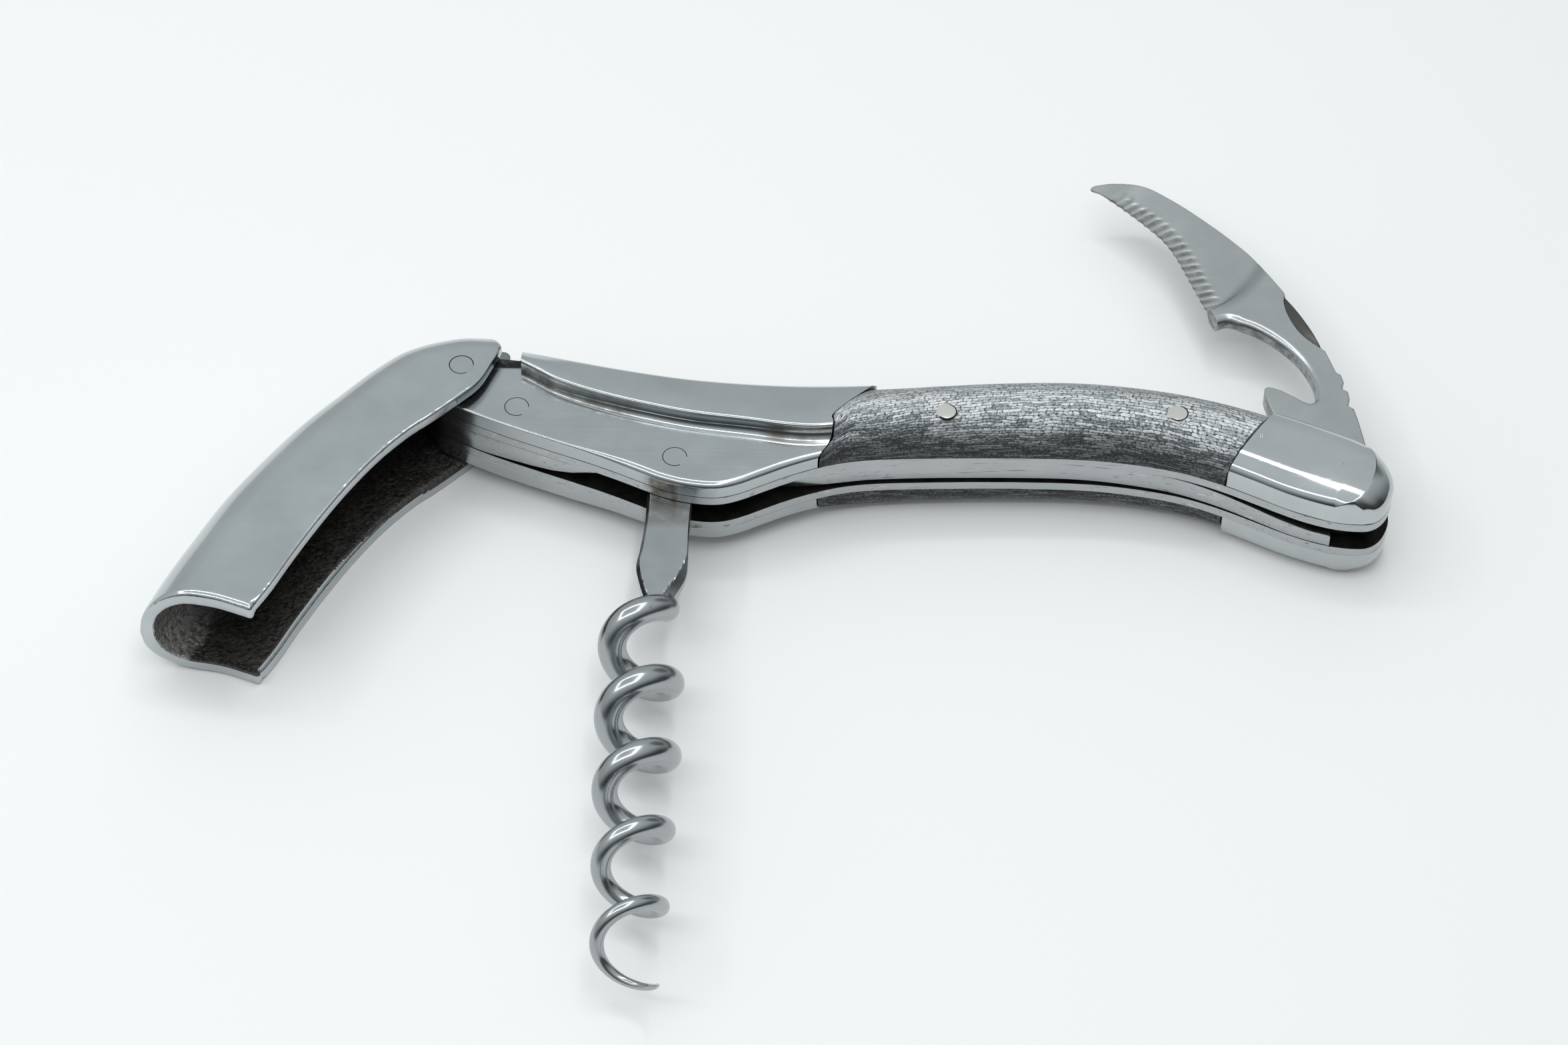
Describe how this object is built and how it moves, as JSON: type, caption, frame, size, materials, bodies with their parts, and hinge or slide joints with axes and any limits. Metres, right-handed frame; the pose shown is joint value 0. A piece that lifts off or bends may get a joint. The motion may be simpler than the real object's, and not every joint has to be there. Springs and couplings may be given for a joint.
{
  "type": "lever corkscrew",
  "caption": "Waiter's corkscrew with a channel-shaped boot lever, folding worm and curved serrated blade with cap lifter in a two-sided handle.",
  "frame": {"origin": "centre of the footprint of the box round the open tool, at the level it lies on", "axes": "+X along the handle from the lever end to the rounded tail, +Y from the handle's belly to its back, so the worm points along -Y, +Z through the thickness, up from the side it lies on"},
  "size_m": [0.1482, 0.1256, 0.0144],
  "materials": {
    "liner_steel": "polished edge",
    "bolster_steel": "mirror polished",
    "spring_steel": "polished",
    "pin_steel": "ground flush",
    "rivet_metal": "polished",
    "lever_steel": "polished outside, dark as cast inside",
    "worm_steel": "polished",
    "blade_steel": "satin ground",
    "scale_laminate": "sanded cloth laminate, grey weave"
  },
  "bodies": {
    "handle": {"blade_pin": "pin_steel", "far_head_bolster": "bolster_steel", "far_liner": "liner_steel", "far_rivet_head": "rivet_metal", "far_rivet_tail": "rivet_metal", "far_scale": "scale_laminate", "far_tail_bolster": "bolster_steel", "head_pin": "pin_steel", "main_spring": "spring_steel", "near_head_bolster": "bolster_steel", "near_liner": "liner_steel", "near_rivet_head": "rivet_metal", "near_rivet_tail": "rivet_metal", "near_scale": "scale_laminate", "near_tail_bolster": "bolster_steel", "worm_pin": "pin_steel"},
    "lever": {"lever": "lever_steel", "lever_pin": "pin_steel"},
    "worm": {"worm": "worm_steel"},
    "blade": {"blade": "blade_steel"}
  },
  "joints": [
    {"name": "lever_pivot", "type": "hinge", "parent": "handle", "child": "lever", "pos_m": [-0.03845, 0.02282, 0.0072], "axis": [0, 0, 1], "range_deg": [0, 107]},
    {"name": "worm_pivot", "type": "hinge", "parent": "handle", "child": "worm", "pos_m": [-0.01218, 0.01061, 0.0072], "axis": [0, 0, 1], "range_deg": [0, 83]},
    {"name": "blade_pivot", "type": "hinge", "parent": "handle", "child": "blade", "pos_m": [0.0681, 0.01003, 0.0072], "axis": [0, 0, 1], "range_deg": [-128, 48]}
  ],
  "couplings": [
    {"joint": "worm_pivot", "follows": "lever_pivot", "ratio": 0.77}
  ]
}
